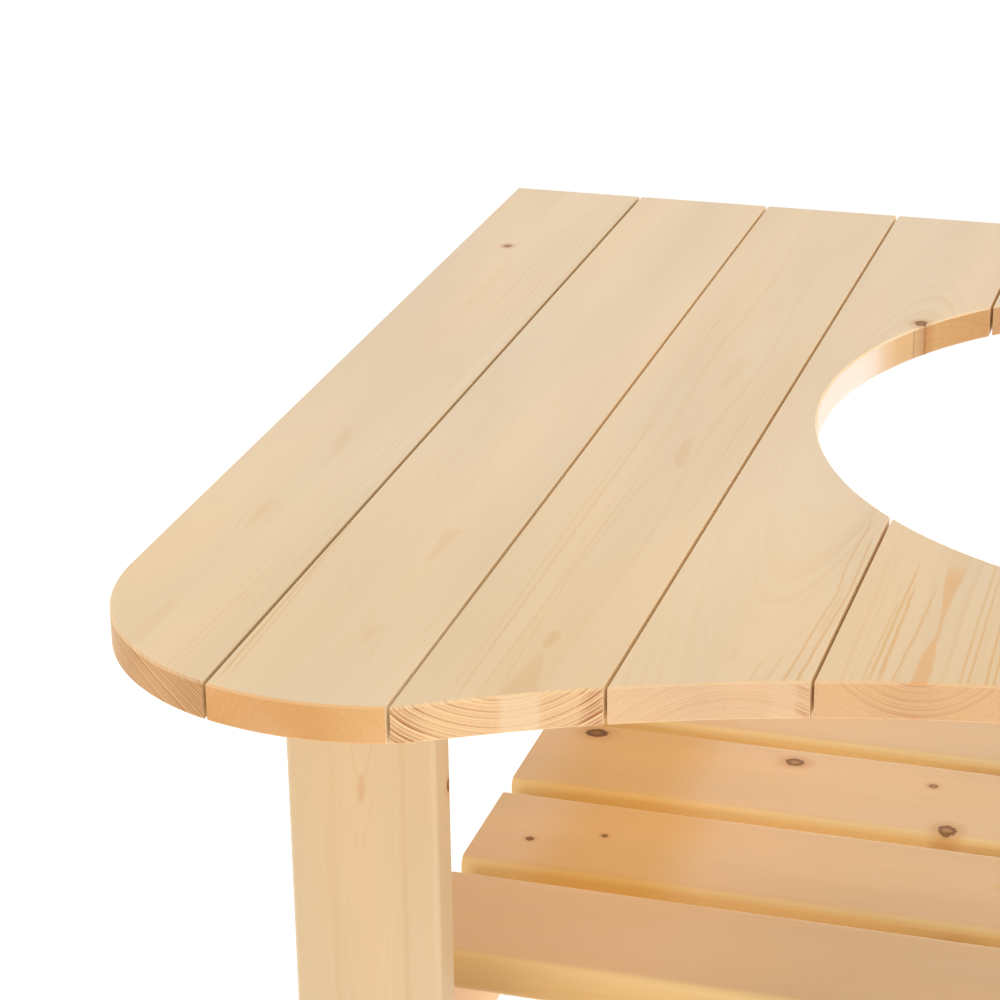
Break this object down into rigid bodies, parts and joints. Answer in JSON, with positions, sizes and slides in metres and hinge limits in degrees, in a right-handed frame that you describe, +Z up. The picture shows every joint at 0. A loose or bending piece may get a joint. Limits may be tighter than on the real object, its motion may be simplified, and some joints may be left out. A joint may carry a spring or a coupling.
{
  "type": "kamado grill table",
  "caption": "Pine patio table with a round cut-out in its planked top for a ceramic grill, and a slatted shelf below that carries it.",
  "frame": {"origin": "on the floor, under the middle of the table's outline (halfway from end to end and from the back edge to the noses)", "axes": "+X to the right along the table's length, +Y from the curved front to the straight back edge, +Z up"},
  "size_m": [1.168, 0.871, 0.78],
  "materials": {
    "top_planks": "planed pale pine, clear matt oil",
    "shelf_boards": "planed warm pine, clear matt oil",
    "legs": "planed pine, clear matt oil",
    "framing": "planed pine, clear matt oil",
    "zinc_steel": "bright zinc plate",
    "foot_pads": "black moulded plastic"
  },
  "bodies": {
    "root": {"bracket_shelf_front_left": "zinc_steel", "bracket_shelf_front_right": "zinc_steel", "bracket_shelf_rear_left": "zinc_steel", "bracket_shelf_rear_right": "zinc_steel", "bracket_top_front_left": "zinc_steel", "bracket_top_front_right": "zinc_steel", "bracket_top_rear_left": "zinc_steel", "bracket_top_rear_right": "zinc_steel", "cleat_front": "framing", "cleat_left": "framing", "cleat_rear": "framing", "cleat_right": "framing", "coach_screw_front_left_inner": "zinc_steel", "coach_screw_front_left_outer": "zinc_steel", "coach_screw_front_right_inner": "zinc_steel", "coach_screw_front_right_outer": "zinc_steel", "coach_screw_rear_left_inner": "zinc_steel", "coach_screw_rear_left_outer": "zinc_steel", "coach_screw_rear_right_inner": "zinc_steel", "coach_screw_rear_right_outer": "zinc_steel", "foot_pad_front_left": "foot_pads", "foot_pad_front_right": "foot_pads", "foot_pad_rear_left": "foot_pads", "foot_pad_rear_right": "foot_pads", "leg_front_left": "legs", "leg_front_right": "legs", "leg_rear_left": "legs", "leg_rear_right": "legs", "plank_front_left_1": "top_planks", "plank_front_left_2": "top_planks", "plank_front_right_1": "top_planks", "plank_front_right_2": "top_planks", "plank_left_1": "top_planks", "plank_left_2": "top_planks", "plank_left_3": "top_planks", "plank_left_4": "top_planks", "plank_rear_left_1": "top_planks", "plank_rear_left_2": "top_planks", "plank_rear_right_1": "top_planks", "plank_rear_right_2": "top_planks", "plank_right_1": "top_planks", "plank_right_2": "top_planks", "plank_right_3": "top_planks", "plank_right_4": "top_planks", "shelf_bearer_1": "framing", "shelf_bearer_2": "framing", "shelf_bearer_3": "framing", "shelf_bearer_4": "framing", "shelf_board_1": "shelf_boards", "shelf_board_2": "shelf_boards", "shelf_board_3": "shelf_boards", "shelf_board_4": "shelf_boards", "shelf_board_5": "shelf_boards", "shelf_rail_front": "framing", "shelf_rail_rear": "framing", "top_bearer_left": "framing", "top_bearer_right": "framing"}
  },
  "joints": []
}
